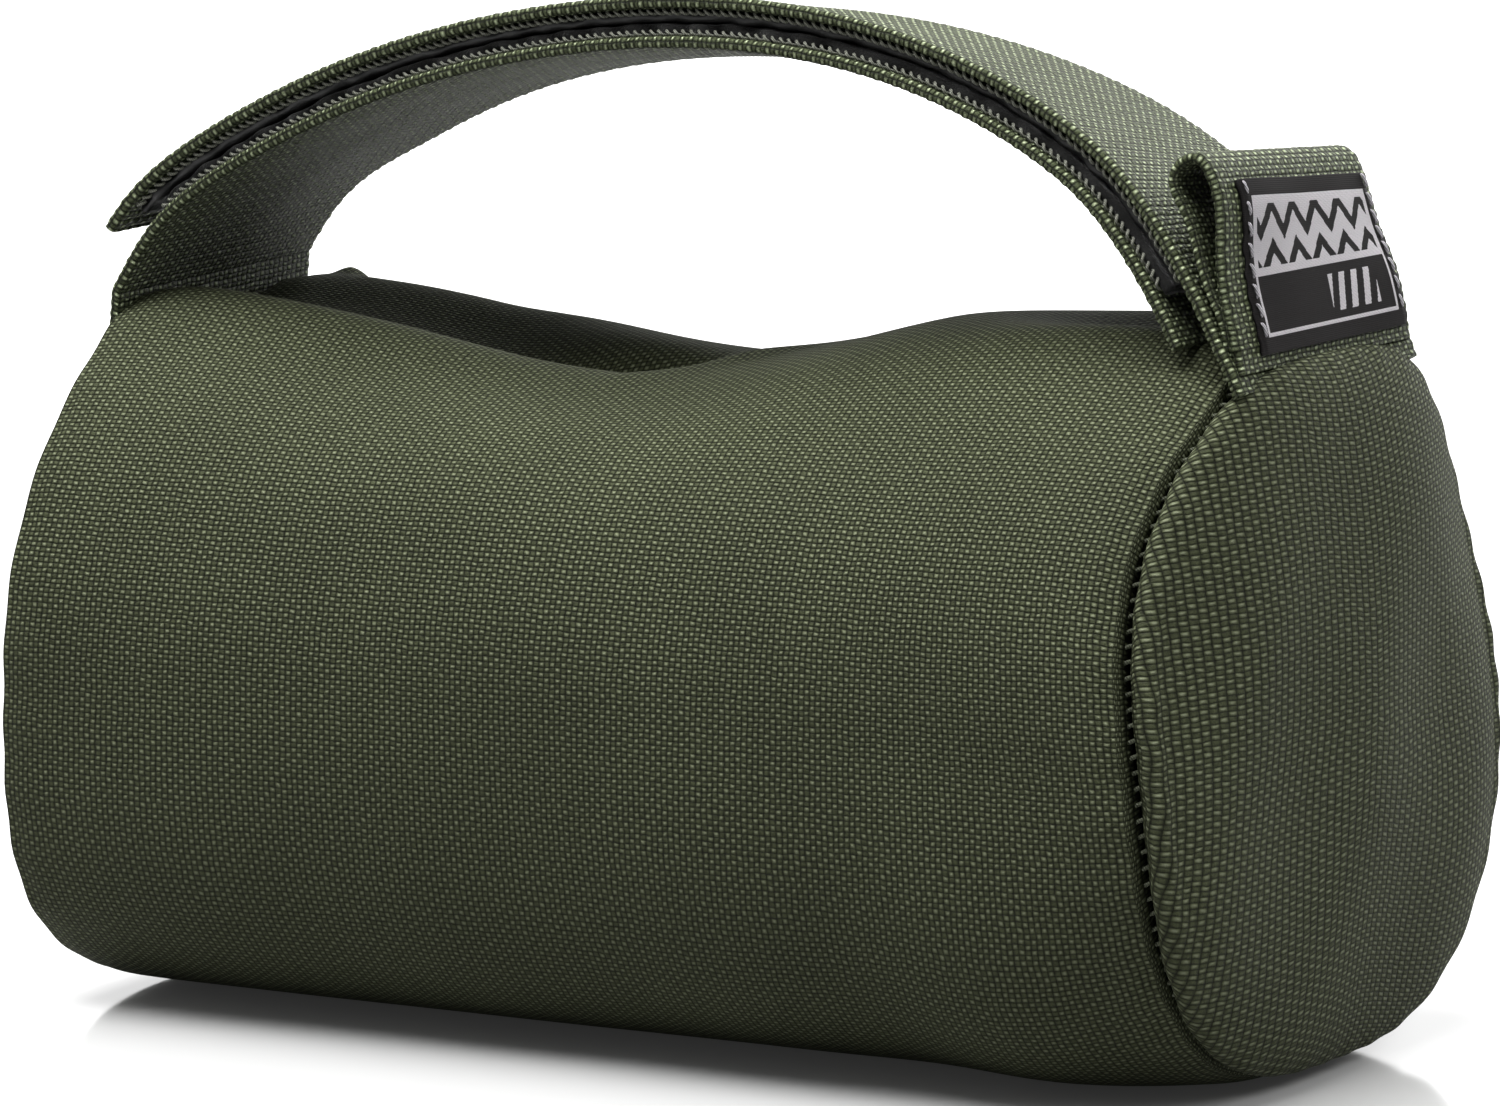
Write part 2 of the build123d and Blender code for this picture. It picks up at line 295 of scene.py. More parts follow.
def cover_surface(x, theta, inset=0.0):
    """Points of the bag's cloth at x along the bag and theta round it, from the top to the front.

    The section is round above and squarer below. Its top sinks in a saddle across the bag and in a
    valley from each strap's root, with a crease where the left valley closes. A pinch and small
    puckers draw it in at the end seams, and the floor flattens it.
    """
    angle = (theta + math.pi) % (2 * math.pi) - math.pi
    side = -RADIUS * np.sin(angle)
    top = smooth(0.40, 0.86, np.cos(angle))
    gap = SEAM - np.abs(x)
    calm = (1 - smooth(30, 48, -(RADIUS * np.cos(angle)))) * (1 - hump(angle, ZIP_ANGLE, 0.3))

    saddle = 10.6 * hump(x, -5.0, np.where(x < -5.0, 50.0, 35.0)) * hump(angle, 0, 0.95)
    saddle = saddle * smooth(ZIP_ANGLE + 0.25, ZIP_ANGLE + 0.51, angle)
    pinch = np.where(x > 0, 0.5, 0.2) * hump(gap, 0, 6.0)
    pinch = pinch + np.where(x > 0, 0.9, 0.5) * hump(gap, 0, 2.0)
    drag = 0.35 * np.exp(-gap / 24.0) * np.sin(9 * angle + 0.05 * x + 2.1 * np.sin(2 * angle))
    pucker = 0.16 * np.exp(-gap / 5.0) * np.sin(31 * angle + 3 * np.sin(3 * angle))
    uneven = 0.3 * ripple(x, RADIUS * angle, 5, 9, 46.0)
    radius = section_radius(angle, x) - inset - top * saddle - pinch
    radius = radius + (pucker + drag + uneven) * calm

    left_middle = 2.0 - 9.0 * smooth(-50, -8, x)
    left_width = 14.5 - 8.0 * smooth(-50, -8, x)
    left_depth = 7.2 * smooth(-100, -68, x) * (1 - smooth(-15, 5, x))
    valley = left_depth * hump(side, left_middle, left_width)
    right_depth = 4.5 * smooth(30, 62, x) * (1 - 0.3 * smooth(72, 82, x))
    valley = valley + right_depth * hump(side, 1.0, 10.5)
    ridge = 1.3 * smooth(-88, -70, x) * (1 - smooth(-45, -12, x)) * (
        hump(side, -19.0, 7.0) + hump(side, 21.0, 7.0))
    ridge = ridge + 0.9 * smooth(35, 62, x) * hump(side, -17.0, 7.0)
    across = (x - side - 8.0) / math.sqrt(2)
    along = (x + side + 16.0) / math.sqrt(2)
    fold = (2.0 * hump(across, -1.2, 1.7) - 1.0 * hump(across, 3.0, 3.4)) * hump(along, 9.0, 12.0)
    tuck = 2.6 * hump(x, -77.5, 3.2) * hump(side, 27.0, 3.0)

    if np.ndim(inset) == 0 and inset == 0:
        zip_way = RADIUS * (angle - ZIP_ANGLE)
        lip = 0.55 * hump(np.abs(zip_way), SLOT_HALF + 1.3, 1.0) * (
            1 - smooth(ZIP_HALF, ZIP_HALF + 2.5, np.abs(x)))
        radius = radius + lip

    y = -radius * np.sin(angle)
    z = AXIS_HEIGHT + radius * np.cos(angle)
    lid = SEAM_TOP - inset + 0.32 * gap + 400 * smooth(24, 60, gap)
    z = soft_min(z, lid, 1.2) - top * (valley + fold - ridge - tuck)
    z = soft_max(z, inset, 0.9) - 0.15
    drawn = x - np.sign(x) * seam_shift(angle, x) * smooth(25, 82, np.abs(x))
    return np.stack(np.broadcast_arrays(drawn, y, z), -1)


def snapped(values, exact):
    """Moves the nearest value onto each exact one, so that a grid line runs there."""
    for place in exact:
        values[np.argmin(np.abs(values - place))] = place
    return values


def round_angles(count):
    """Angles round the bag, closer together over the top and at the zipper slot."""
    fine = np.linspace(-math.pi, math.pi, 8000)
    weight = 1 + 0.9 * hump(fine, 0, 0.6) + 4.0 * hump(fine, ZIP_ANGLE, 0.17)
    total = np.concatenate([[0], np.cumsum((weight[1:] + weight[:-1]) / 2)])
    at = np.linspace(0, total[-1], count, endpoint=False)
    edge = SLOT_HALF / RADIUS
    return snapped(np.interp(at, total, fine), (ZIP_ANGLE - edge, ZIP_ANGLE + edge))


def length_places(count):
    """Places along the tube, closer together near the seams and the slot's ends."""
    fine = np.linspace(-SEAM, SEAM, 8000)
    weight = 1 + 2.5 * hump(SEAM - np.abs(fine), 0, 6.0) + 1.8 * hump(np.abs(fine), ZIP_HALF, 1.6)
    total = np.concatenate([[0], np.cumsum((weight[1:] + weight[:-1]) / 2)])
    return snapped(np.interp(np.linspace(0, total[-1], count), total, fine), (-ZIP_HALF, ZIP_HALF))


def turned_in(rim, x_out, depth, rows):
    """Rows that turn cloth from a rim into the seam: a quarter round, then straight inwards."""
    centre = np.array([0, 0, AXIS_HEIGHT])
    inward = centre - rim
    inward[:, 0] = 0
    inward /= np.linalg.norm(inward, axis=1, keepdims=True)
    out = []
    for share in np.linspace(0, 1, rows)[1:]:
        turn = share * math.pi / 2
        out.append(rim + inward * depth * (1 - math.cos(turn)) + [x_out * math.sin(turn), 0, 0])
    out.append(out[-1] + inward * 2.4)
    return np.stack(out)


# Materials ------------------------------------------------------------------------------------

def srgb(*values):
    """Linear colour, with alpha 1, from 0 to 255 screen values."""
    c = np.array(values) / 255
    linear = np.where(c <= 0.04045, c / 12.92, ((c + 0.055) / 1.055) ** 2.4)
    return (*[float(v) for v in linear], 1.0)


class Nodes:
    """A short way to write a material's node tree."""

    def __init__(self, name):
        self.material = bpy.data.materials.new(name)
        self.material.use_nodes = True
        self.tree = self.material.node_tree
        self.tree.nodes.clear()
        self.shader = self.add("ShaderNodeBsdfPrincipled")
        output = self.add("ShaderNodeOutputMaterial")
        self.link(self.shader.outputs[0], output.inputs[0])

    def add(self, kind, **settings):
        node = self.tree.nodes.new(kind)
        for key, value in settings.items():
            setattr(node, key, value)
        return node

    def link(self, source, target):
        self.tree.links.new(source, target)

    def feed(self, socket, value):
        if isinstance(value, bpy.types.NodeSocket):
            self.link(value, socket)
        else:
            socket.default_value = value

    def math(self, operation, a, b=0.0, c=0.0):
        node = self.add("ShaderNodeMath", operation=operation)
        for socket, value in zip(node.inputs, (a, b, c)):
            self.feed(socket, value)
        return node.outputs[0]

    def coordinates(self, uv=True):
        """The U and V of the piece's own map, or its object coordinates, as three numbers."""
        source = self.add("ShaderNodeTexCoord").outputs["UV" if uv else "Object"]
        split = self.add("ShaderNodeSeparateXYZ")
        self.link(source, split.inputs[0])
        return source, split.outputs[0], split.outputs[1], split.outputs[2]

    def noise(self, vector, scale, detail=2.0, rough=0.5):
        node = self.add("ShaderNodeTexNoise")
        self.link(vector, node.inputs["Vector"])
        node.inputs["Scale"].default_value = scale
        node.inputs["Detail"].default_value = detail
        node.inputs["Roughness"].default_value = rough
        return node.outputs["Fac"]

    def ramp(self, value, stops):
        node = self.add("ShaderNodeValToRGB")
        self.feed(node.inputs[0], value)
        elements = node.color_ramp.elements
        while len(elements) < len(stops):
            elements.new(0.5)
        for element, (place, colour) in zip(elements, stops):
            element.position = place
            element.color = colour
        return node.outputs[0]

    def scaled(self, colour, factor):
        """A colour times a number, as light and dark patches have it."""
        node = self.add("ShaderNodeMix", data_type="RGBA", blend_type="MULTIPLY")
        node.inputs[0].default_value = 1.0
        self.feed(node.inputs[6], colour)
        self.feed(node.inputs[7], factor)
        return node.outputs[2]

    def grey(self, value):
        node = self.add("ShaderNodeCombineColor")
        for socket in node.inputs:
            self.link(value, socket)
        return node.outputs[0]

    def bump(self, height, distance, strength=1.0):
        node = self.add("ShaderNodeBump")
        node.inputs["Strength"].default_value = strength
        node.inputs["Distance"].default_value = distance
        self.link(height, node.inputs["Height"])
        self.link(node.outputs[0], self.shader.inputs["Normal"])

    def surface(self, colour, rough, sheen=0.0, specular=0.5, metallic=0.0):
        self.feed(self.shader.inputs["Base Color"], colour)
        self.feed(self.shader.inputs["Roughness"], rough)
        self.shader.inputs["Sheen Weight"].default_value = sheen
        self.shader.inputs["Sheen Roughness"].default_value = 0.4
        self.shader.inputs["Specular IOR Level"].default_value = specular
        self.shader.inputs["Metallic"].default_value = metallic


def weave_height(nodes, u, v, across, along, lift):
    """A plain weave: at each crossing a rounded float, higher where the warp lies on top.

    It is the size of sin times sin, with half a turn per thread, plus lift times its signed value.
    """
    one = nodes.math("SINE", nodes.math("MULTIPLY", u, math.pi / across))
    two = nodes.math("SINE", nodes.math("MULTIPLY", v, math.pi / along))
    signed = nodes.math("MULTIPLY", one, two)
    size = nodes.math("POWER", nodes.math("ABSOLUTE", signed), 0.62)
    return nodes.math("MULTIPLY_ADD", signed, lift, size)


def shades(base, stops):
    """Ramp stops of a base colour at several strengths, from painted shade to painted highlights, the
    brightest a little greyer as a painted highlight.
    """
    out = []
    for place, strength in stops:
        grey = float(np.mean(base)) * strength
        # Strengths above 1 are painted highlights, so they are mixed towards grey.
        mix = 0.35 * max(0.0, min(1.0, (strength - 1) / 2))
        out.append((place, (*[float(c) * strength * (1 - mix) + grey * mix for c in base], 1)))
    return out


def woven_cloth(name, colour, across, along):
    """Coarse nylon cloth: painted shade in the gaps between yarns, painted highlights on the floats,
    uneven yarns and faint large patches.
    """
    nodes = Nodes(name)
    vector, u, v, _ = nodes.coordinates()
    wander = nodes.math("MULTIPLY_ADD", nodes.noise(vector, 0.35, 2.0), 0.55, -0.27)
    u = nodes.math("ADD", u, wander)
    v = nodes.math("ADD", v, wander)
    height = weave_height(nodes, u, v, across, along, 0.42)
    yarn = nodes.noise(vector, 1.5, 3.0, 0.7)
    height = nodes.math("MULTIPLY_ADD", yarn, 0.9, height)
    # Painted shade and highlight: the colour runs from a tenth of the base in the weave's gaps to 3.4
    # times it on the floats.
    shade = nodes.ramp(nodes.math("MULTIPLY", height, 0.46), shades(colour[:3], [
        (0.22, 0.10), (0.36, 0.45), (0.50, 1.0), (0.68, 1.9), (0.92, 3.4)]))
    patches = nodes.math("MULTIPLY_ADD", nodes.noise(vector, 0.045, 3.0), 0.35, 0.82)
    nodes.surface(nodes.scaled(shade, nodes.grey(patches)), 0.7, specular=0.12)
    nodes.bump(height, 0.00026, 1.0)
    return nodes.material


def webbing_cloth(name, colour):
    """Ribbed nylon webbing: brick-like floats in cross ribs, with painted shade in the gaps between them
    and small painted glints on them.
    """
    nodes = Nodes(name)
    vector, u, v, _ = nodes.coordinates()
    wander = nodes.math("MULTIPLY_ADD", nodes.noise(vector, 0.5, 2.0), 0.5, -0.25)
    u = nodes.math("ADD", u, wander)
    v = nodes.math("ADD", v, wander)
    height = weave_height(nodes, u, v, 1.2, 0.65, 0.35)
    yarn = nodes.noise(vector, 2.2, 3.0, 0.75)
    height = nodes.math("MULTIPLY_ADD", yarn, 1.1, height)
    # Painted shade and glints: the colour runs from a twentieth of the base in the gaps to 6.5 times it
    # on the floats' tops.
    shade = nodes.ramp(nodes.math("MULTIPLY", height, 0.45), shades(colour[:3], [
        (0.26, 0.05), (0.40, 0.30), (0.54, 0.9), (0.70, 2.1), (0.92, 6.5)]))
    patches = nodes.math("MULTIPLY_ADD", nodes.noise(vector, 0.12, 2.0), 0.3, 0.85)
    nodes.surface(nodes.scaled(shade, nodes.grey(patches)), 0.55, specular=0.15)
    nodes.bump(height, 0.00032, 1.0)
    return nodes.material


def mottled(name, colour, rough, scale, spread=0.35, grain=0.00008, metallic=0.0, sheen=0.0):
    """A plain finish broken up by fine grain and slightly lighter and darker patches."""
    nodes = Nodes(name)
    vector = nodes.coordinates(uv=False)[0]
    fine = nodes.noise(vector, scale, 4.0, 0.6)
    base = np.array(colour[:3])
    shade = nodes.ramp(fine, [
        (0.25, (*(base * (1 - spread)), 1)),
        (0.75, (*(base * (1 + spread)), 1)),
    ])
    rubbed = nodes.math("MULTIPLY_ADD", nodes.noise(vector, scale / 6, 2.0), 0.25, rough - 0.12)
    nodes.surface(shade, rubbed, sheen=sheen, metallic=metallic)
    nodes.bump(fine, grain, 0.6)
    return nodes.material


def twisted_thread(name, colour, pitch):
    """Sewing thread: slanted plies across object space, with painted shade darkening the grooves between
    them.
    """
    nodes = Nodes(name)
    vector, x, y, z = nodes.coordinates(uv=False)
    slant = nodes.math("ADD", nodes.math("ADD", x, y), z)
    ply = nodes.math("SINE", nodes.math("MULTIPLY", slant, 2 * math.pi / (pitch * METRE)))
    height = nodes.math("MULTIPLY_ADD", nodes.noise(vector, 2500.0, 2.0), 0.6, ply)
    base = np.array(colour[:3])
    # Painted shade and light: darker in the grooves between plies, lighter on their crests.
    shade = nodes.ramp(nodes.math("MULTIPLY_ADD", height, 0.3, 0.4), [
        (0.1, (*(base * 0.45), 1)), (0.9, (*(base * 1.6), 1))])
    nodes.surface(shade, 0.5, sheen=0.1)
    nodes.bump(height, 0.00006, 0.7)
    return nodes.material


def label_cloth(name, ground, thread):
    """Damask label: the point attribute 'motif' mixes light thread into the black ground."""
    nodes = Nodes(name)
    vector, u, v, _ = nodes.coordinates()
    motif = nodes.add("ShaderNodeAttribute", attribute_name="motif").outputs["Fac"]
    slant = nodes.math("ADD", u, nodes.math("MULTIPLY", v, 1.6))
    ply = nodes.math("ABSOLUTE", nodes.math("SINE", nodes.math("MULTIPLY", slant, math.pi / 0.42)))
    cross = nodes.math("ABSOLUTE", nodes.math("SINE", nodes.math("MULTIPLY", v, math.pi / 0.24)))
    fine = nodes.noise(vector, 5.0, 2.0)
    # The ply and cross stripes are painted shade between the threads and rows, lighter on their crests,
    # over the motif's real light and dark threads.
    light = nodes.ramp(nodes.math("MULTIPLY_ADD", fine, 0.4, nodes.math("MULTIPLY", ply, 0.7)), [
        (0.15, (*(np.array(thread[:3]) * 0.35), 1)), (0.75, (*(np.array(thread[:3]) * 1.15), 1))])
    dark = nodes.ramp(nodes.math("MULTIPLY_ADD", fine, 0.5, nodes.math("MULTIPLY", cross, 0.5)), [
        (0.1, (*(np.array(ground[:3]) * 0.5), 1)), (0.9, (*(np.array(ground[:3]) * 1.7), 1))])
    mix = nodes.add("ShaderNodeMix", data_type="RGBA")
    nodes.link(nodes.math("GREATER_THAN", motif, 0.5), mix.inputs[0])
    nodes.link(dark, mix.inputs[6])
    nodes.link(light, mix.inputs[7])
    nodes.surface(mix.outputs[2], 0.75, specular=0.12)
    height = nodes.math("MULTIPLY_ADD", ply, nodes.math("MULTIPLY_ADD", motif, 0.9, 0.15),
                        nodes.math("MULTIPLY", cross, 0.3))
    nodes.bump(height, 0.00010, 0.9)
    return nodes.material


# Handle ---------------------------------------------------------------------------------------

HANDLE_LINE, HANDLE_RUN = even_line(HANDLE_POINTS, RIB / 4)
HANDLE_NORMAL = left_normals(HANDLE_LINE)


def handle_roll(run):
    """Turn of the straps about their own line: the near edge is raised over the right half."""
    share = run / HANDLE_RUN[-1]
    return np.radians(2.5 * (1 - smooth(0, 0.16, share))
                      - 8.8 * smooth(0.15, 0.72, share) * (1 - smooth(0.82, 1.0, share)))


def handle_drop(run):
    """How far the straps' middle lies below the CAD line, where they twist."""
    return 2.3 * hump(run / HANDLE_RUN[-1], 0.75, 0.2)


def on_handle(run, side, height):
    """Points at a run along the handle, a side way across it and a height over its underside."""
    run, side, height = np.broadcast_arrays(run, side, height)
    x, z, nx, nz = line_places(run, HANDLE_RUN, HANDLE_LINE, HANDLE_NORMAL)
    x = x + 0.1 * np.minimum(run, 0) + 0.4 * np.maximum(run - HANDLE_RUN[-1], 0)
    z = z + np.minimum(run, 0) - np.maximum(run - HANDLE_RUN[-1], 0)
    roll = handle_roll(run)
    up = height * np.cos(roll) + side * np.sin(roll) - handle_drop(run)
    return np.stack([x + nx * up, side * np.cos(roll) - height * np.sin(roll), z + nz * up], -1)


def ribbon_section(half, thick, columns):
    """Half-width and height pairs round a flat ribbon's section, with rounded edges."""
    flat = np.linspace(-half + thick / 2, half - thick / 2, columns)
    turn = np.linspace(-math.pi / 2, math.pi / 2, 6)[1:-1]
    right = np.stack([half - thick / 2 + thick / 2 * np.cos(turn),
                      thick / 2 + thick / 2 * np.sin(turn)], -1)
    bottom = np.stack([flat, np.zeros(columns)], -1)
    top = np.stack([flat[::-1], np.full(columns, thick)], -1)
    left = right[::-1] * [-1, 1]
    return np.concatenate([bottom, right, top, left])


def perimeter(section):
    """Distance round a section from its first point, as a row."""
    steps = np.linalg.norm(np.diff(section, axis=0), axis=1)
    return np.concatenate([[0], np.cumsum(steps)])[None, :]


def webbing_rings(place, runs, half, thick, columns, low):
    """Rings of a ribbed ribbon: ribs swell its faces, and each rib's end swells its edges.

    place(run, side, height) gives the points. A rib is the size of the sine of half a turn per
    rib, with neighbouring columns half a rib apart.
    """
    section = ribbon_section(half, thick, columns)
    side = section[None, :, 0]
    height = section[None, :, 1]
    run = runs[:, None]
    rib = np.abs(np.sin(math.pi * run / RIB))
    brick = np.sin(math.pi * run / RIB) * np.sin(math.pi * side / 1.2)
    swell = 0.13 * (rib - 0.5) + 0.06 * brick
    face = np.sign(height - thick / 2) * np.minimum(1, np.abs(height - thick / 2) / (thick / 2))
    edge = smooth(half - thick * 0.8, half, np.abs(side))
    ragged = 0.07 * ripple(run + 0 * side, height * 3 + 0 * run, 31, 7, 1.6)
    height = height + face * swell * (1 - 0.4 * edge)
    wide = side + np.sign(side) * edge * (0.13 * (rib - 0.5) + ragged)
    uv = np.stack(np.broadcast_arrays(perimeter(section) + 100, run), -1)
    return place(np.broadcast_to(run, wide.shape), wide, low + height), uv


def ribbon_rings(place, runs, half, thick, columns, low, rough, seed):
    """Rings of a plain ribbon, its faces roughened by seeded unevenness."""
    section = ribbon_section(half, thick, columns)
    side, height = section[None, :, 0], section[None, :, 1]
    run = runs[:, None]
    bump = rough * ripple(np.broadcast_to(run, (len(runs), len(section))), side + height, seed, 8, 3.0)
    edge = smooth(half - thick, half, np.abs(side)) * np.sign(side)
    wide = side + edge * bump
    high = height + np.sign(height - thick / 2) * 0.4 * bump
    uv = np.stack(np.broadcast_arrays(section[None, :, 0] + 100, run + 0 * side), -1)
    return place(np.broadcast_to(run, wide.shape), wide, low + high), uv


def frames_at(place, run, side, height, slant=0.0):
    """Origins and axes (along, across, up) of copies on a strap, turned by slant about up."""
    step = 0.2
    origin = place(run, side, height)
    along = place(run + step, side, height) - place(run - step, side, height)
    along /= np.linalg.norm(along, axis=-1, keepdims=True)
    up = place(run, side, height + step) - origin
    up -= along * np.sum(up * along, -1, keepdims=True)
    up /= np.linalg.norm(up, axis=-1, keepdims=True)
    across = np.cross(up, along)
    c, s = np.cos(slant), np.sin(slant)
    turned = np.stack([c * along + s * across, c * across - s * along, up], 1)
    return origin, turned


def wrapped_stitch(length, reach, thick, radius, sides=6, count=12):
    """One braid stitch: a round thread that runs over an edge, from one face to the other."""
    turn = np.linspace(-0.75 * math.pi, 0.75 * math.pi, count)
    line = np.stack([np.linspace(-length / 2, length / 2, count),
                     reach * (np.cos(turn) - 1), thick / 2 * np.sin(turn)], -1)
    return tube_along(line, radius, sides)


def flat_stitch(length, rise, radius, sides=8, count=9):
    """A sewn stitch: a round thread bowed over the cloth, its ends going down into it."""
    share = np.linspace(-1, 1, count)
    line = np.stack([share * length / 2, 0 * share, rise * (1 - share**4) - radius * 0.6], -1)
    size = radius * np.sqrt(1 - (0.97 * share) ** 6)
    return tube_along(line, size, sides)


# Palette --------------------------------------------------------------------------------------

def finishes():
    """Every material, made once and kept by name."""
    if "Bag_Fabric" in bpy.data.materials:
        return {m.name: m for m in bpy.data.materials}
    made = [
        woven_cloth("Bag_Fabric", srgb(76, 81, 58), 0.82, 0.66),
        woven_cloth("Disc_Fabric", srgb(76, 81, 58), 1.6, 0.66),
        webbing_cloth("Webbing_Cloth", srgb(90, 98, 70)),
        mottled("Binding_Cloth", srgb(52, 56, 42), 0.8, 900.0, sheen=0.1),
        mottled("Liner_Cloth", srgb(38, 40, 36), 0.7, 1400.0, sheen=0.15),
        mottled("Loop_Pile", srgb(22, 22, 21), 0.95, 2600.0, 0.6, 0.0004, sheen=0.4),
        mottled("Hook_Nylon", srgb(16, 16, 16), 0.55, 1800.0, 0.5, 0.0002),
        mottled("Sand_Grains", srgb(176, 156, 122), 0.9, 1500.0, 0.5, 0.0005),
        mottled("Zipper_Tape", srgb(24, 25, 23), 0.8, 2200.0, 0.4, 0.00015),
        mottled("Zipper_Nylon", srgb(20, 20, 20), 0.35, 900.0, 0.25),
        mottled("Slider_Enamel", srgb(30, 30, 31), 0.38, 700.0, 0.3, 0.00003, metallic=0.6),
        twisted_thread("Sewing_Thread", srgb(92, 97, 78), 0.5),
        twisted_thread("Braid_Thread", srgb(128, 130, 118), 0.4),
        twisted_thread("Label_Thread", srgb(186, 182, 188), 0.4),
        label_cloth("Label_Cloth", srgb(24, 22, 22), srgb(214, 210, 214)),
    ]
    return {m.name: m for m in made}


# Pieces ---------------------------------------------------------------------------------------

def make_cover(props):
    """The tube's cloth: the bag's surface, its ends turned in, with the zipper slot left open."""
    x = length_places(props.length_steps)
    theta = round_angles(props.round_steps)
    body = cover_surface(x[:, None], theta[None, :])
    left = turned_in(body[0], -0.3, 1.3, 4)[::-1]
    right = turned_in(body[-1], 0.3, 1.3, 4)
    points = np.concatenate([left, body, right])
    rows = len(points)
    past_left, past_right = np.arange(len(left), 0, -1), np.arange(1, 1 + len(right))
    across = np.concatenate([x[0] - past_left, x, x[-1] + past_right])
    uv = np.stack(np.broadcast_arrays(across[:, None], RADIUS * theta[None, :]), -1) + MAP_START
    quads = grid_faces(rows, len(theta), wrap=True)
    i, j = np.meshgrid(np.arange(rows - 1), np.arange(len(theta)), indexing="ij")
    edge = SLOT_HALF / RADIUS + 1e-6
    inside_x = (across[i] >= -ZIP_HALF - 1e-6) & (across[i + 1] <= ZIP_HALF + 1e-6)
    following = np.append(theta[1:], theta[0] + 2 * math.pi)
    inside_t = (theta[j] >= ZIP_ANGLE - edge) & (following[j] <= ZIP_ANGLE + edge)
    quads = quads[~(inside_x & inside_t).ravel()]
    cover = make_object("bag_cover", points.reshape(-1, 3), [quads], uv.reshape(-1, 2),
                        turn=2 * math.pi * RADIUS)
    thicken(cover)
    finish_piece(cover, finishes()["Bag_Fabric"], "bag", ["tube_panel"])


def disc_profile(sign, count):
    """Distance out from the seam plane and share of the outline, from the seam to the centre.

    The right disc stands out beside its seam, and the left one lies within the tube's edge.
    """
    right = [(0.3, 0.898), (0.35, 0.93), (0.7, 0.955), (1.4, 0.970), (2.5, 0.975), (3.7, 0.952),
             (4.9, 0.90), (6.1, 0.80), (7.2, 0.65), (8.1, 0.45), (8.7, 0.2), (8.9, 0.0)]
    left = [(0.3, 0.898), (0.5, 0.915), (1.1, 0.925), (2.0, 0.915), (3.0, 0.88), (4.4, 0.82),
            (5.6, 0.72), (6.8, 0.58), (7.8, 0.4), (8.4, 0.18), (8.6, 0.0)]
    scaled = [(out, share * RADIUS) for out, share in (right if sign > 0 else left)]
    line = spline_through(scaled, count)
    return line[:, 0], np.clip(line[:, 1] / RADIUS, 0, 1)


def disc_points(sign, theta, count):
    """Rings of an end disc: the bag's outline, shrunk towards its axis along a domed profile."""
    radius = section_radius(theta, sign * (SEAM - 1)) - 0.5
    high = soft_min(AXIS_HEIGHT + radius * np.cos(theta), 94.6, 3.5)
    high = soft_max(high, 0, 0.9) - 0.15
    centre = np.array([0, 0, AXIS_HEIGHT])
    reach = np.stack([0 * theta, -radius * np.sin(theta), high - AXIS_HEIGHT], -1)
    out, share = disc_profile(sign, count)
    share_column = share[:, None]
    wide = 1.6 * hump(np.abs(theta), math.radians(92), math.radians(30))
    pucker = 0.15 * np.sin(37 * theta + 2.3 * np.sin(4 * theta))
    near = hump(share_column, 0.965, 0.04)
    soft = 0.45 * ripple(reach[None, :, 1] * share_column, reach[None, :, 2] * share_column,
                         8, 9, 40.0)
    lift = out[:, None] + near * pucker + hump(share_column, 0.96, 0.035) * wide[None, :]
    lift = lift + soft * smooth(2, 7, out)[:, None]
    points = centre + reach[None] * share_column[..., None]
    drawn = seam_shift((theta + math.pi) % (2 * math.pi) - math.pi, sign)
    points[..., 0] = sign * (SEAM + lift - drawn[None, :] * smooth(0.5, 1.0, share_column))
    steps = np.hypot(np.diff(out), RADIUS * np.diff(share))
    run = np.append(np.cumsum(steps[::-1])[::-1], 0)
    way = np.stack([np.sin(theta), np.cos(theta)], -1)
    return points, run[:, None, None] * way[None]


def make_disc(name, sign, node, props):
    """An end disc's cloth, closed at its centre."""
    theta = np.linspace(-math.pi, math.pi, props.round_steps, endpoint=False)
    points, uv = disc_points(sign, theta, props.disc_steps)
    tip = points[-1].mean(axis=0, keepdims=True)
    points = points[:-1]
    uv = np.concatenate([uv[:-1].reshape(-1, 2), [[0, 0]]])
    rows, columns = points.shape[:2]
    flat = np.concatenate([points.reshape(-1, 3), tip])
    quads = grid_faces(rows, columns, wrap=True)
    last = (rows - 1) * columns + np.arange(columns)
    fan = np.stack([last, np.roll(last, -1), np.full(columns, rows * columns)], -1)
    if sign < 0:
        quads, fan = quads[:, ::-1], fan[:, ::-1]
    disc = make_object(name, flat, [quads, fan], uv + MAP_START)
    thicken(disc)
    finish_piece(disc, finishes()["Disc_Fabric"], "bag", [node])


def filling_rings(inset, count):
    """Rings of a closed filling: the bag's surface let in by inset, its ends rounded off."""
    turn = np.linspace(-math.pi / 2, math.pi / 2, count)
    x = (SEAM - 1.5 - inset / 2) * np.sin(turn)
    theta = np.linspace(-math.pi, math.pi, 96, endpoint=False)
    rings = cover_surface(x[:, None], theta[None, :], inset)
    close = np.clip(1 - np.abs(np.sin(turn)) ** 14, 0.02, 1) ** 0.5
    centre = np.array([0, 0, AXIS_HEIGHT])
    rings[..., 1:] = centre[1:] + (rings[..., 1:] - centre[1:]) * close[:, None, None]
    return rings


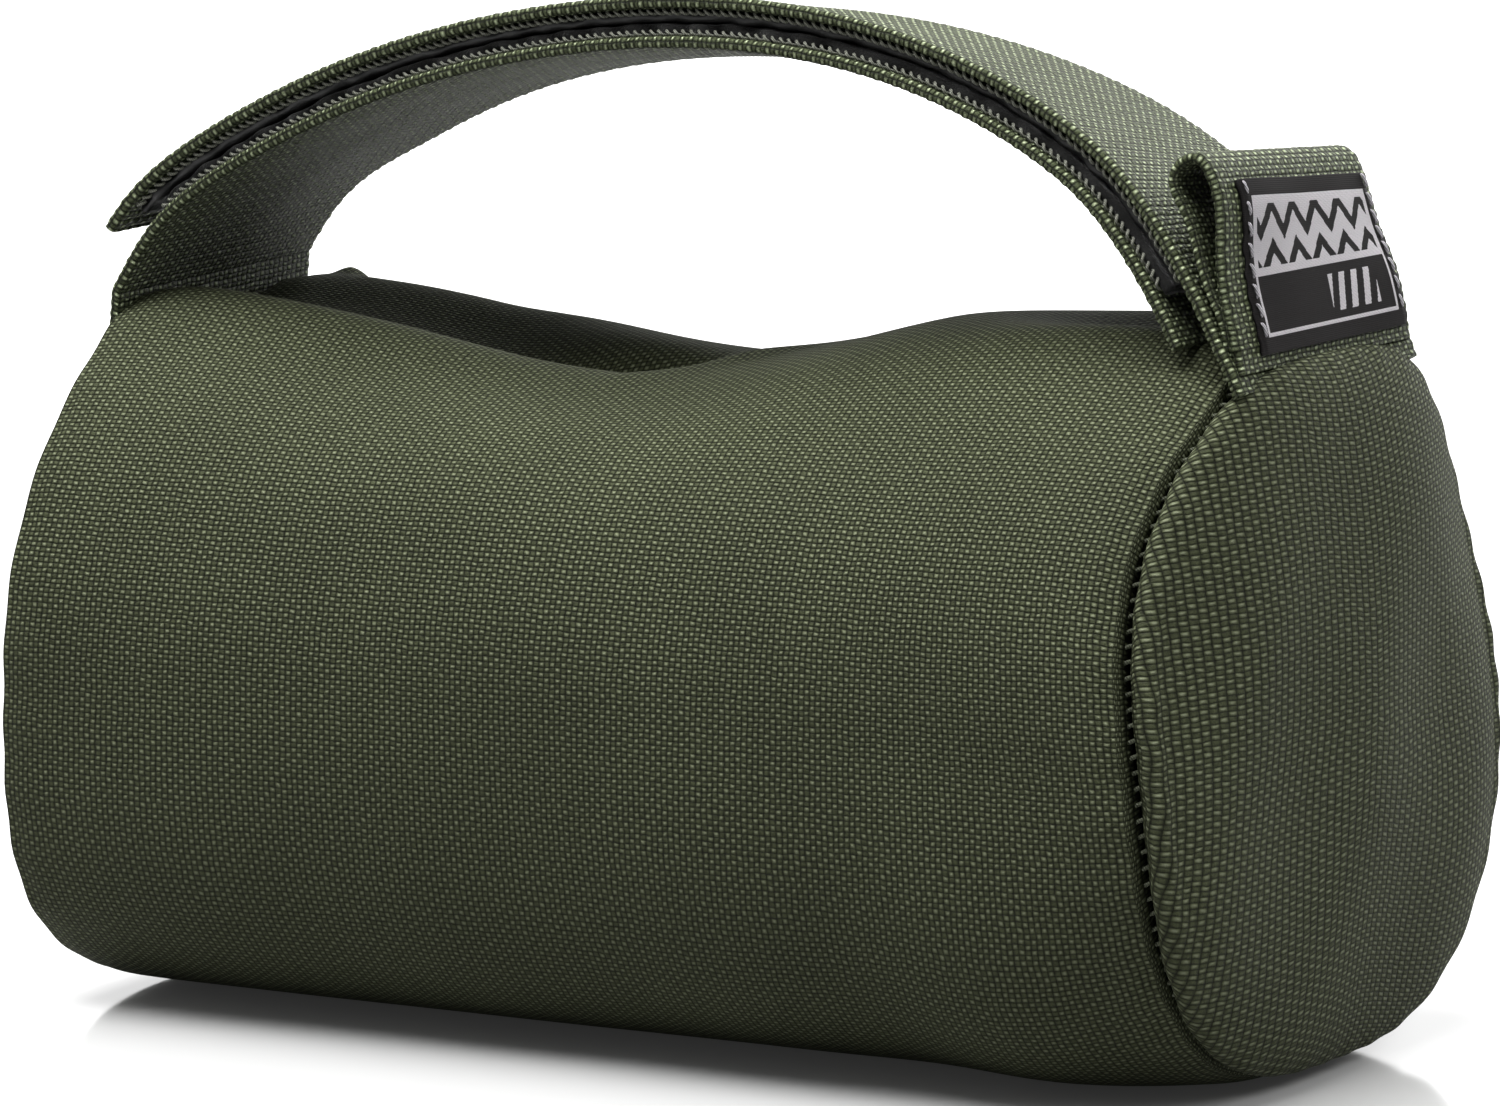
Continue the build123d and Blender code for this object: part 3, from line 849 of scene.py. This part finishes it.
def make_filling():
    """The liner bag, the sand in it and the binding tapes over the seams' raw edges."""
    looks = finishes()
    liner = rings_object("liner_body", filling_rings(3.3, 90))
    finish_piece(liner, looks["Liner_Cloth"], "bag", ["liner_bag"])
    sand = rings_object("sand_body", filling_rings(4.2, 90))
    finish_piece(sand, looks["Sand_Grains"], "bag", ["sand_fill"])
    theta = np.linspace(-math.pi, math.pi, 240, endpoint=False)
    for sign, side in ((-1, "left"), (1, "right")):
        turn = np.linspace(0, 2 * math.pi, 10, endpoint=False)
        x = sign * (SEAM - 3.2 + 1.4 * np.cos(turn))
        inset = 2.1 + 0.7 * np.sin(turn)
        loops = cover_surface(x[:, None], theta[None, :], inset[:, None])
        quads = grid_faces(len(turn) + 1, len(theta), wrap=True) % (len(turn) * len(theta))
        if sign > 0:
            quads = quads[:, ::-1]
        ring = make_object(f"{side}_binding", loops.reshape(-1, 3), [quads])
        finish_piece(ring, looks["Binding_Cloth"], "bag", [f"{side}_seam_binding"])


def make_seam_threads(props):
    """Lockstitches across each end seam, set down in its groove."""
    looks = finishes()
    theta = np.linspace(-math.pi, math.pi, props.seam_stitches, endpoint=False)
    stitch = flat_stitch(2.0, 0.45, 0.28)
    for sign, side in ((-1, "left"), (1, "right")):
        rim = cover_surface(np.full_like(theta, sign * SEAM), theta)
        centre = np.array([0, 0, AXIS_HEIGHT])
        up = (rim - centre) * [0, 1, 1]
        up /= np.linalg.norm(up, axis=1, keepdims=True)
        along = np.broadcast_to([1.0, 0, 0], up.shape) + 0.45 * np.cross(up, [1.0, 0, 0])
        along /= np.linalg.norm(along, axis=1, keepdims=True)
        deep = 1.7 + 1.5 * hump(np.abs(theta), math.radians(88), math.radians(36))
        origin = rim - up * deep[:, None] + [sign * 0.3, 0, 0]
        threads = repeated(f"{side}_seam_stitches", stitch,
                           (origin, np.stack([along, np.cross(up, along), up], 1)))
        finish_piece(threads, looks["Sewing_Thread"], "bag", [f"{side}_seam_thread"])


def coil_line(side, per_turn):
    """A zipper coil's nylon line: flattened loops from the tape's edge to just past the middle."""
    share = np.arange(COIL_TURNS * per_turn + 1) / per_turn
    turn = 2 * math.pi * share
    along = -COIL_HALF + 2 * COIL_HALF * share / COIL_TURNS
    across = side * (1.15 - 1.45 * np.cos(turn))
    high = 0.2 + 0.75 * np.sin(turn)
    return along, across, high


def on_zipper(along, across, high):
    """Points on the back at the zipper: along it, up across it, and out from its tapes' face."""
    angle = ZIP_ANGLE + across / RADIUS
    radius = TAPE_RADIUS + high
    return np.stack([along, -radius * np.sin(angle), AXIS_HEIGHT + radius * np.cos(angle)], -1)


def make_zipper():
    """The coils' teeth as wound nylon lines; the tapes, stops, slider and pull are the CAD's."""
    looks = finishes()
    for side, name in ((1, "upper"), (-1, "lower")):
        along, across, high = coil_line(side, 12)
        shift = 0.0 if side > 0 else COIL_HALF / COIL_TURNS
        line = on_zipper(along + shift, across, high)
        coil = rings_object(f"zipper_teeth_{name}", tube_along(line, 0.3, 6))
        finish_piece(coil, looks["Zipper_Nylon"], "bag", [f"zipper_coil_{name}"])


def make_outer_strap(props):
    """The outer strap: ribbed webbing from its free tail on the left to the right seam."""
    looks = finishes()
    total = HANDLE_RUN[-1]
    runs = np.arange(0.033 * total, total + 2.5, RIB / 6)
    rings, uv = webbing_rings(on_handle, runs, STRAP_HALF, 1.55, props.strap_columns, 5.1)
    strap = rings_object("outer_webbing", rings, uv)
    finish_piece(strap, looks["Webbing_Cloth"], replaces=["outer_strap"])
    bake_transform(strap)


def make_inner_strap(props):
    """The inner strap: ribbed webbing from the left seam to its free end under the right one."""
    looks = finishes()
    total = HANDLE_RUN[-1]
    runs = np.arange(-6.0, 0.965 * total, RIB / 6)
    rings, uv = webbing_rings(on_handle, runs, STRAP_HALF, 1.5, props.strap_columns, 0.0)
    strap = rings_object("inner_webbing", rings, uv)
    finish_piece(strap, looks["Webbing_Cloth"], replaces=["inner_strap"])
    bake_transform(strap)


def make_tapes(props):
    """Hook tape and loop tape: backings, their pile and the braid sewn along their edges."""
    looks = finishes()
    total = HANDLE_RUN[-1]
    rows = (
        ("loop", "inner_strap", 0.07, 1.6, 1.55, 11, "Loop_Pile", "loop_pile"),
        ("hook", "outer_strap", 0.055, 3.45, 1.55, 12, "Hook_Nylon", "hook_tape"),
    )
    for kind, body, start, low, thick, seed, look, slot in rows:
        runs = np.arange(start * total, 0.93 * total, 0.55)
        rings, uv = ribbon_rings(on_handle, runs, TAPE_HALF, thick, 26, low, 0.35, seed)
        tape = rings_object(f"{kind}_backing", rings, uv)
        finish_piece(tape, looks[look], body, [f"{kind}_tape"])
        run = np.arange(start * total + 0.6, 0.93 * total - 0.6, props.braid_pitch)
        height = low + (0.35 if kind == "loop" else 1.2)
        shape = wrapped_stitch(1.35, 0.45, 0.55, 0.21)
        origins, axes = [], []
        for side in (-1, 1):
            origin, axis = frames_at(on_handle, run, np.full_like(run, side * (TAPE_HALF + 0.95)), height)
            axis = axis * np.array([1, side, side])[None, :, None]
            origins.append(origin)
            axes.append(axis)
        braid = repeated(f"{kind}_braid", shape, (np.concatenate(origins), np.concatenate(axes)))
        finish_piece(braid, looks["Braid_Thread"], body, [f"{kind}_tape_stitching"])


TAB_LINE, TAB_RUN = even_line(TAB_POINTS, RIB / 4)
TAB_NORMAL = left_normals(TAB_LINE)


def on_tab(run, side, height):
    """Points at a run along the tab's centre line, a side way across and a height over it."""
    run, side, height = np.broadcast_arrays(run, side, height)
    x, z, nx, nz = line_places(run, TAB_RUN, TAB_LINE, TAB_NORMAL)
    lean = 1.6 * side / 25 * smooth(8, 20, run) * (1 - smooth(34, 48, run))
    return np.stack([x + nx * height - lean, side, z + nz * height - lean], -1)


def tab_runs(low_height):
    """Runs where the tab crosses a height on its inner leaf and on its outer leaf."""
    above = TAB_RUN[TAB_LINE[:, 1] >= low_height]
    return above[0], above[-1]


def make_tab(props):
    """The folded tab, and its roots that stay with the bag where it is sewn into the seam."""
    looks = finishes()
    first, last = tab_runs(94.4)
    runs = np.arange(first, last, RIB / 6)
    rings, uv = webbing_rings(on_tab, runs, TAB_HALF, 1.4, props.strap_columns, -0.7)
    tab = rings_object("tab_webbing", rings, uv)
    finish_piece(tab, looks["Webbing_Cloth"], "tab", ["tab_loop"])
    inner, outer = tab_runs(95.6)
    for name, low, high in (("inner", 0.0, inner), ("outer", outer, TAB_RUN[-1])):
        rings, uv = webbing_rings(on_tab, np.arange(low, high, RIB / 6), TAB_HALF - 0.2, 1.2,
                                  props.strap_columns, -0.6)
        root = rings_object(f"tab_root_{name}", rings, uv)
        finish_piece(root, looks["Webbing_Cloth"])
        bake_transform(root)


def label_motif(across, along, wide, long):
    """1 where the label's light thread lies.

    The upper part is a light panel with dark chevrons, the lower part a dark one with a light
    outline and slanted bars. along runs from the fold to the hem.
    """
    edge = np.minimum(wide / 2 - np.abs(across), long / 2 - np.abs(along))
    inside = edge > 2.0
    outline = inside & (edge < 2.5)
    upper = inside & (along < 1.0)
    wave = np.abs((across + 30) % 7.0 - 3.5)
    dark = (edge > 3.0) & (along < 0.0) & (np.abs((along + 30 - wave) % 5.0 - 2.5) < 0.95)
    bars = (np.abs((across + along * 0.3 + 30) % 3.4 - 1.7) < 0.8) & (across > 1) & (across < 14)
    lower = (along > 2.2) & (edge > 3.4) & bars
    return (outline | (upper & ~dark) | lower).astype(float)


def make_label(props):
    """The woven label over the tab's outer leaf, its light motif, and the stitches that hold it."""
    looks = finishes()
    peak = np.argmax(TAB_LINE[:, 1])
    start = TAB_RUN[peak + np.argmax(TAB_LINE[peak:, 0] > 78.15)]
    end = tab_runs(93.2)[1]
    middle, half, thick = LABEL_MIDDLE, LABEL_HALF, 0.6
    runs = np.linspace(start, end, props.label_rows)
    side = np.linspace(middle - half, middle + half, props.label_columns)
    low = 0.78
    grid_run, grid_side = np.meshgrid(runs, side, indexing="ij")
    from_middle = grid_side - middle
    fray = 0.4 * ripple(grid_run, grid_side * 0, 21, 9, 2.2)
    fray = fray * smooth(half - 1.5, half, np.abs(from_middle))
    fray = fray * np.where(from_middle > 0, 1.6, 0.6)
    swell = 0.22 * smooth(0, 1.2, half - np.abs(from_middle))
    swell = swell + 0.12 * ripple(grid_run, grid_side, 4, 6, 14.0)
    top = on_tab(grid_run, grid_side + fray, low + thick * 0.6 + swell)
    base = on_tab(grid_run, grid_side + fray, np.full_like(grid_run, low))
    rows, columns = grid_run.shape
    count = rows * columns
    around = np.concatenate([np.arange(columns), np.arange(columns - 1, -1, -1) + count])
    points = np.concatenate([base.reshape(-1, 3), top.reshape(-1, 3)])
    rings = points[np.arange(rows)[:, None] * columns + around[None, :]]
    across = np.concatenate([grid_side, grid_side[:, ::-1]], 1)
    along = np.concatenate([grid_run, grid_run], 1)
    motif = label_motif(across - middle, along - (start + end) / 2, 2 * half, end - start)
    motif[:, :columns] = 0
    uv = np.stack([across + 100, along + 100], -1)
    label = rings_object("label_patch", rings, uv, {"motif": motif})
    finish_piece(label, looks["Label_Cloth"], "tab", ["woven_label"])
    run = np.arange(start + 1.0, end - 0.8, 2.4)
    origins, axes = [], []
    for place in (middle - half + 1.0, middle + half - 1.0):
        origin, axis = frames_at(on_tab, run, np.full_like(run, place), low + thick, 0.25)
        origins.append(origin)
        axes.append(axis)
    stitches = repeated("label_threads", flat_stitch(1.9, 0.3, 0.22),
                        (np.concatenate(origins), np.concatenate(axes)))
    finish_piece(stitches, looks["Label_Thread"], "tab", ["label_stitching"])


CAD_LOOKS = {
    "zipper_stitching": "Sewing_Thread",
    "liner_loop_strip": "Loop_Pile",
    "liner_hook_strip": "Hook_Nylon",
    "zipper_tape_upper": "Zipper_Tape",
    "zipper_tape_lower": "Zipper_Tape",
    "zipper_top_stop": "Slider_Enamel",
    "zipper_bottom_stop": "Slider_Enamel",
    "zipper_slider": "Slider_Enamel",
    "slider_pull": "Slider_Enamel",
}


def dress_cad():
    """Gives the CAD parts that stay shown their detailed materials."""
    looks = finishes()
    for node, look in CAD_LOOKS.items():
        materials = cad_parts[node].data.materials
        materials.clear()
        materials.append(looks[look])


# Stage ----------------------------------------------------------------------------------------

def add_area(name, place, target, size, power):
    """A square area light at a place in metres, turned to face a target."""
    light = bpy.data.lights.new(name, "AREA")
    light.size = size
    light.energy = power
    obj = bpy.data.objects.new(name, light)
    obj.location = place
    way = np.array(target, float) - np.array(place, float)
    obj.rotation_euler = aim(way)
    bpy.context.scene.collection.objects.link(obj)


def aim(way):
    """Euler angles that turn -Z along a direction, with Y kept as high as it can be."""
    way = way / np.linalg.norm(way)
    return (math.acos(-way[2]), 0.0, math.atan2(-way[0], way[1]))


def add_floor(props):
    """A polished white floor and a white wall far behind it.

    Both light the bag less than they show, and away from the bag the floor fades to plain white.
    """
    shapes = {
        "stage_floor": ([(-2, -1.5, 0), (2, -1.5, 0), (2, 1.6, 0), (-2, 1.6, 0)], 0.1,
                        props.floor_glow),
        "stage_wall": ([(-7.8, 2.7, -0.6), (2.7, 8.7, -0.6), (2.7, 8.7, 2.4), (-7.8, 2.7, 2.4)],
                       0.9, props.wall_glow),
    }
    for name, (corners, rough, glow) in shapes.items():
        mesh = bpy.data.meshes.new(name)
        mesh.from_pydata(corners, [], [(0, 1, 2, 3)])
        obj = bpy.data.objects.new(name, mesh)
        bpy.context.scene.collection.objects.link(obj)
        nodes = Nodes(name + "_white")
        path = nodes.add("ShaderNodeLightPath").outputs
        shown = nodes.math("MAXIMUM", path["Is Camera Ray"], path["Is Glossy Ray"])
        nodes.surface(nodes.grey(nodes.math("MULTIPLY_ADD", shown, 0.6, 0.22)), rough, specular=0.8)
        nodes.shader.inputs["Emission Color"].default_value = (1, 1, 1, 1)
        seen = nodes.math("MULTIPLY", nodes.math("MULTIPLY_ADD", shown, 0.8, 0.2), glow)
        distance = nodes.add("ShaderNodeVectorMath", operation="LENGTH")
        nodes.link(nodes.add("ShaderNodeTexCoord").outputs["Object"], distance.inputs[0])
        far = nodes.add("ShaderNodeMapRange", interpolation_type="SMOOTHSTEP")
        nodes.link(distance.outputs["Value"], far.inputs["Value"])
        far.inputs["From Min"].default_value = 0.25
        far.inputs["From Max"].default_value = 1.1
        far.inputs["To Max"].default_value = 0.9
        far_white = nodes.math("MULTIPLY", far.outputs["Result"], path["Is Camera Ray"])
        nodes.link(nodes.math("ADD", seen, far_white), nodes.shader.inputs["Emission Strength"])
        mesh.materials.append(nodes.material)


def make_stage(props):
    """A long-lens camera, a white floor, and soft light from above, behind and both sides."""
    scene = bpy.context.scene
    azimuth, elevation = math.radians(props.azimuth), math.radians(props.elevation)
    back = np.array([math.sin(azimuth) * math.cos(elevation),
                     -math.cos(azimuth) * math.cos(elevation), math.sin(elevation)])
    target = np.array([0.00035, 0.0, 0.0611])
    camera_data = bpy.data.cameras.new("Stage_Camera")
    camera_data.lens = 216.0
    camera_data.sensor_width = 36.0
    camera_data.clip_start = 0.05
    camera_data.clip_end = 50.0
    camera = bpy.data.objects.new("Stage_Camera", camera_data)
    camera.location = target + back * 1.1735
    camera.rotation_euler = aim(-back)
    scene.collection.objects.link(camera)
    scene.camera = camera
    scene.view_settings.view_transform = "Standard"

    add_floor(props)
    world = bpy.data.worlds.new("Stage_World")
    world.use_nodes = True
    background = world.node_tree.nodes["Background"]
    background.inputs[0].default_value = (1, 1, 1, 1)
    path = world.node_tree.nodes.new("ShaderNodeLightPath")
    strength = world.node_tree.nodes.new("ShaderNodeMath")
    strength.operation = "MULTIPLY_ADD"
    strength.inputs[1].default_value = 1.0 - props.fill_light
    strength.inputs[2].default_value = props.fill_light
    world.node_tree.links.new(path.outputs["Is Camera Ray"], strength.inputs[0])
    world.node_tree.links.new(strength.outputs[0], background.inputs[1])
    scene.world = world

    middle = (0, 0, 0.06)
    add_area("Top_Light", (-0.12, -0.22, 0.95), middle, 0.8, props.top_light)
    add_area("Back_Light", (0.1, 1.2, 0.55), middle, 1.0, props.back_light)
    add_area("Right_Light", (0.95, -0.15, 0.85), middle, 0.6, props.right_light)
    add_area("Left_Light", (-1.2, -0.5, 0.7), middle, 0.7, props.left_light)


# Add-on ---------------------------------------------------------------------------------------

class SandbagSettings(bpy.types.PropertyGroup):
    length_steps: bpy.props.IntProperty(
        name="Length Steps", description="Rows of the tube's cloth from seam to seam", default=230)
    round_steps: bpy.props.IntProperty(
        name="Round Steps", description="Points round the tube's cloth and the discs", default=330)
    disc_steps: bpy.props.IntProperty(
        name="Disc Steps", description="Rings of an end disc from its seam to its centre", default=90)
    strap_columns: bpy.props.IntProperty(
        name="Strap Columns", description="Points across one face of a strap", default=44)
    seam_stitches: bpy.props.IntProperty(
        name="Seam Stitches", description="Stitches round one end seam", default=150)
    braid_pitch: bpy.props.FloatProperty(
        name="Braid Pitch", description="Distance between braid stitches, in millimetres", default=1.15)
    label_rows: bpy.props.IntProperty(
        name="Label Rows", description="Rows of the label along the tab", default=130)
    label_columns: bpy.props.IntProperty(
        name="Label Columns", description="Columns of the label across the tab", default=230)


class StageSettings(bpy.types.PropertyGroup):
    azimuth: bpy.props.FloatProperty(
        name="Azimuth", description="Camera's turn round the bag, in degrees", default=30.0)
    elevation: bpy.props.FloatProperty(
        name="Elevation", description="Camera's height above the horizon, in degrees", default=7.9)
    fill_light: bpy.props.FloatProperty(
        name="Fill Light", description="Strength of the light from all round", default=0.16)
    floor_glow: bpy.props.FloatProperty(
        name="Floor Glow", description="White that the floor adds to its own light", default=0.02)
    wall_glow: bpy.props.FloatProperty(
        name="Wall Glow", description="White of the wall behind the bag", default=1.6)
    top_light: bpy.props.FloatProperty(
        name="Top Light", description="Power of the light overhead", default=18.5, unit="POWER")
    back_light: bpy.props.FloatProperty(
        name="Back Light", description="Power of the light behind", default=8.0, unit="POWER")
    right_light: bpy.props.FloatProperty(
        name="Right Light", description="Power of the rim light on the right", default=5.5, unit="POWER")
    left_light: bpy.props.FloatProperty(
        name="Left Light", description="Power of the weak light on the left", default=1.0, unit="POWER")


class SANDBAG_OT_cover(bpy.types.Operator):
    """Build the tube's cloth"""
    bl_idname = "sandbag.cover"
    bl_label = "Bag Cover"

    def execute(self, context):
        make_cover(context.scene.sandbag)
        return {"FINISHED"}


class SANDBAG_OT_discs(bpy.types.Operator):
    """Build the two end discs"""
    bl_idname = "sandbag.discs"
    bl_label = "End Discs"

    def execute(self, context):
        make_disc("right_disc", 1, "right_end_disc", context.scene.sandbag)
        make_disc("left_disc", -1, "left_end_disc", context.scene.sandbag)
        return {"FINISHED"}


class SANDBAG_OT_seams(bpy.types.Operator):
    """Build the stitches of the end seams"""
    bl_idname = "sandbag.seams"
    bl_label = "Seam Threads"

    def execute(self, context):
        make_seam_threads(context.scene.sandbag)
        return {"FINISHED"}


class SANDBAG_OT_filling(bpy.types.Operator):
    """Build the liner, the sand and the seam bindings"""
    bl_idname = "sandbag.filling"
    bl_label = "Filling"

    def execute(self, context):
        make_filling()
        return {"FINISHED"}


class SANDBAG_OT_zipper(bpy.types.Operator):
    """Build the zipper's coils"""
    bl_idname = "sandbag.zipper"
    bl_label = "Zipper Teeth"

    def execute(self, context):
        make_zipper()
        return {"FINISHED"}


class SANDBAG_OT_outer_strap(bpy.types.Operator):
    """Build the outer strap"""
    bl_idname = "sandbag.outer_strap"
    bl_label = "Outer Strap"

    def execute(self, context):
        make_outer_strap(context.scene.sandbag)
        return {"FINISHED"}


class SANDBAG_OT_inner_strap(bpy.types.Operator):
    """Build the inner strap"""
    bl_idname = "sandbag.inner_strap"
    bl_label = "Inner Strap"

    def execute(self, context):
        make_inner_strap(context.scene.sandbag)
        return {"FINISHED"}


class SANDBAG_OT_tapes(bpy.types.Operator):
    """Build the hook tape and the loop tape"""
    bl_idname = "sandbag.tapes"
    bl_label = "Hook and Loop"

    def execute(self, context):
        make_tapes(context.scene.sandbag)
        return {"FINISHED"}


class SANDBAG_OT_tab(bpy.types.Operator):
    """Build the folded tab"""
    bl_idname = "sandbag.tab"
    bl_label = "Tab"

    def execute(self, context):
        make_tab(context.scene.sandbag)
        return {"FINISHED"}


class SANDBAG_OT_label(bpy.types.Operator):
    """Build the woven label and its stitches"""
    bl_idname = "sandbag.label"
    bl_label = "Label"

    def execute(self, context):
        make_label(context.scene.sandbag)
        return {"FINISHED"}


class SANDBAG_OT_cad(bpy.types.Operator):
    """Dress the CAD parts that stay shown"""
    bl_idname = "sandbag.cad"
    bl_label = "CAD Materials"

    def execute(self, context):
        dress_cad()
        return {"FINISHED"}


class SANDBAG_OT_stage(bpy.types.Operator):
    """Build the camera, the floor and the lights"""
    bl_idname = "sandbag.stage"
    bl_label = "Stage"

    def execute(self, context):
        make_stage(context.scene.sandbag_stage)
        return {"FINISHED"}


OPERATORS = (
    SANDBAG_OT_stage, SANDBAG_OT_cover, SANDBAG_OT_discs, SANDBAG_OT_seams, SANDBAG_OT_filling,
    SANDBAG_OT_zipper, SANDBAG_OT_outer_strap, SANDBAG_OT_inner_strap, SANDBAG_OT_tapes,
    SANDBAG_OT_tab, SANDBAG_OT_label, SANDBAG_OT_cad,
)


class SANDBAG_PT_main(bpy.types.Panel):
    """Sidebar panel with every step and its settings"""
    bl_idname = "SANDBAG_PT_main"
    bl_label = "Bolster Sandbag"
    bl_space_type = "VIEW_3D"
    bl_region_type = "UI"
    bl_category = "Sandbag"

    def draw(self, context):
        layout = self.layout
        for cls in OPERATORS:
            layout.operator(cls.bl_idname)
        for settings in (context.scene.sandbag, context.scene.sandbag_stage):
            for name in settings.__annotations__:
                layout.prop(settings, name)


CLASSES = (SandbagSettings, StageSettings, *OPERATORS, SANDBAG_PT_main)


def register():
    for cls in CLASSES:
        bpy.utils.register_class(cls)
    bpy.types.Scene.sandbag = bpy.props.PointerProperty(type=SandbagSettings)
    bpy.types.Scene.sandbag_stage = bpy.props.PointerProperty(type=StageSettings)


def unregister():
    del bpy.types.Scene.sandbag_stage
    del bpy.types.Scene.sandbag
    for cls in reversed(CLASSES):
        bpy.utils.unregister_class(cls)


def main():
    register()
    bpy.ops.sandbag.stage()
    bpy.ops.sandbag.cover()
    bpy.ops.sandbag.discs()
    bpy.ops.sandbag.seams()
    bpy.ops.sandbag.filling()
    bpy.ops.sandbag.zipper()
    bpy.ops.sandbag.outer_strap()
    bpy.ops.sandbag.inner_strap()
    bpy.ops.sandbag.tapes()
    bpy.ops.sandbag.tab()
    bpy.ops.sandbag.label()
    bpy.ops.sandbag.cad()


if __name__ == "__main__":
    main()
